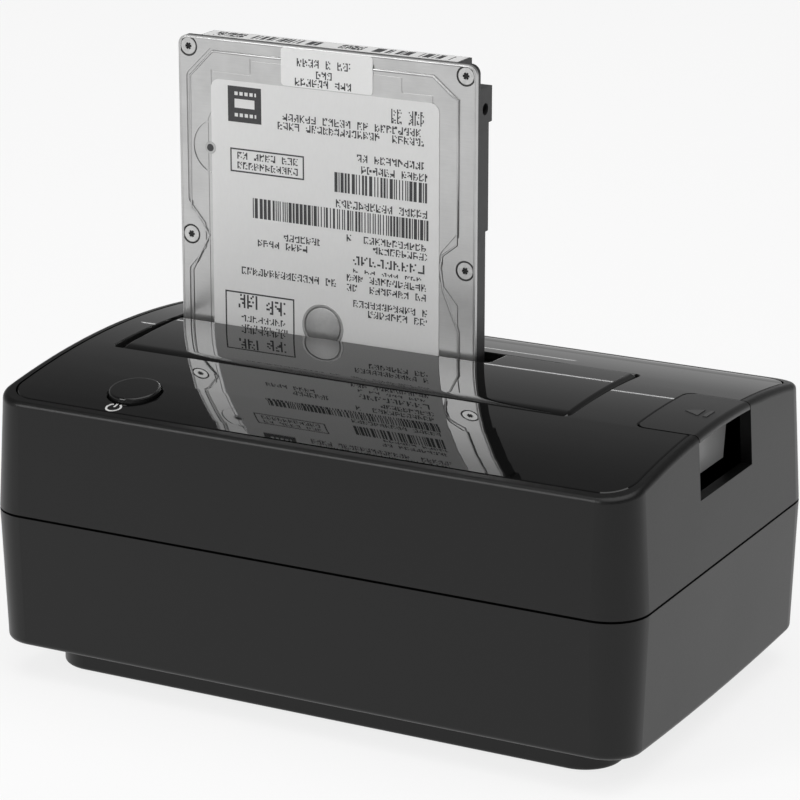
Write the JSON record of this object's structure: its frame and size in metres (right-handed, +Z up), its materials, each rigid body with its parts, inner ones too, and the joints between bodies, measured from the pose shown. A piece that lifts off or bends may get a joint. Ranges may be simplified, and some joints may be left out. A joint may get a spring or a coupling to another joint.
{
  "type": "hard drive docking station",
  "caption": "Desktop docking station with one upright drive bay, a sprung flap, an eject lever and a power button, and a bare 2.5 inch drive standing in it.",
  "frame": {"origin": "on the surface that the feet stand on, under the middle of the casing", "axes": "+X along the casing to the eject lever, -Y is the front with the power button, +Z up"},
  "size_m": [0.1442, 0.0904, 0.1247],
  "materials": {
    "casing": "fine matte texture, black",
    "panel": "piano black",
    "key": "satin, dark grey",
    "inner_plastic": "black",
    "rubber": "matte",
    "steel": "zinc plated",
    "spring": "drawn wire",
    "circuit_board": "solder mask",
    "chip": "moulded package",
    "can": "drawn can",
    "socket_metal": "plated shell",
    "connector": "black",
    "cast_frame": "black coated die casting",
    "cover_sheet": "stamped sheet",
    "label": "paper label",
    "batch_label": "paper label",
    "motor": "turned"
  },
  "bodies": {
    "root": {"top_shell": "casing", "top_panel": "panel", "bottom_shell": "casing", "base_plinth": "casing", "rubber_feet": "rubber", "case_screws": "steel", "drive_bay": "inner_plastic", "bay_screws": "steel", "door_pin": "steel", "door_spring": "spring", "lever_pin": "steel", "lever_spring": "spring", "switch_board": "circuit_board", "tact_switch": "chip", "switch_screws": "steel", "main_board": "circuit_board", "board_screws": "steel", "bridge_chip": "chip", "board_capacitors": "can", "power_inductor": "chip", "sata_receptacle": "connector", "usb_port": "socket_metal", "power_jack": "connector"},
    "bay_door": {"bay_door": "panel"},
    "eject_slide": {"eject_slide": "inner_plastic"},
    "eject_lever": {"eject_lever": "key"},
    "power_button": {"power_button": "casing"},
    "drive": {"drive_casting": "cast_frame", "drive_cover": "cover_sheet", "drive_cover_screws": "steel", "drive_label": "label", "drive_batch_label": "batch_label", "drive_end_label": "batch_label", "drive_connector": "connector", "drive_board": "circuit_board", "spindle_motor": "motor"}
  },
  "joints": [
    {"name": "door_hinge", "type": "hinge", "parent": "root", "child": "bay_door", "pos_m": [-0.00925, -0.0093, 0.0584], "axis": [-1, 0, 0], "range_deg": [0, 90], "stiffness_Nm_per_rad": 0.002, "springref_deg": -85.94, "deforming": ["door_spring"]},
    {"name": "slide_lift", "type": "slide", "parent": "root", "child": "eject_slide", "axis": [0, 0, 1], "range_m": [0, 0.0042]},
    {"name": "lever_pivot", "type": "hinge", "parent": "root", "child": "eject_lever", "pos_m": [0.058, 0.00135, 0.0576], "axis": [0, 1, 0], "range_deg": [0, 25], "stiffness_Nm_per_rad": 0.01, "springref_deg": -28.65, "deforming": ["lever_spring"]},
    {"name": "drive_lift", "type": "slide", "parent": "eject_slide", "child": "drive", "axis": [0, 0, 1], "range_m": [0, 0.06]},
    {"name": "button_press", "type": "slide", "parent": "root", "child": "power_button", "axis": [0, 0, -1], "range_m": [0, 0.0008], "stiffness_N_per_m": 400, "springref_m": -0.0008}
  ],
  "couplings": [
    {"joint": "lever_pivot", "follows": "slide_lift", "rad_per_m": 103.5}
  ]
}
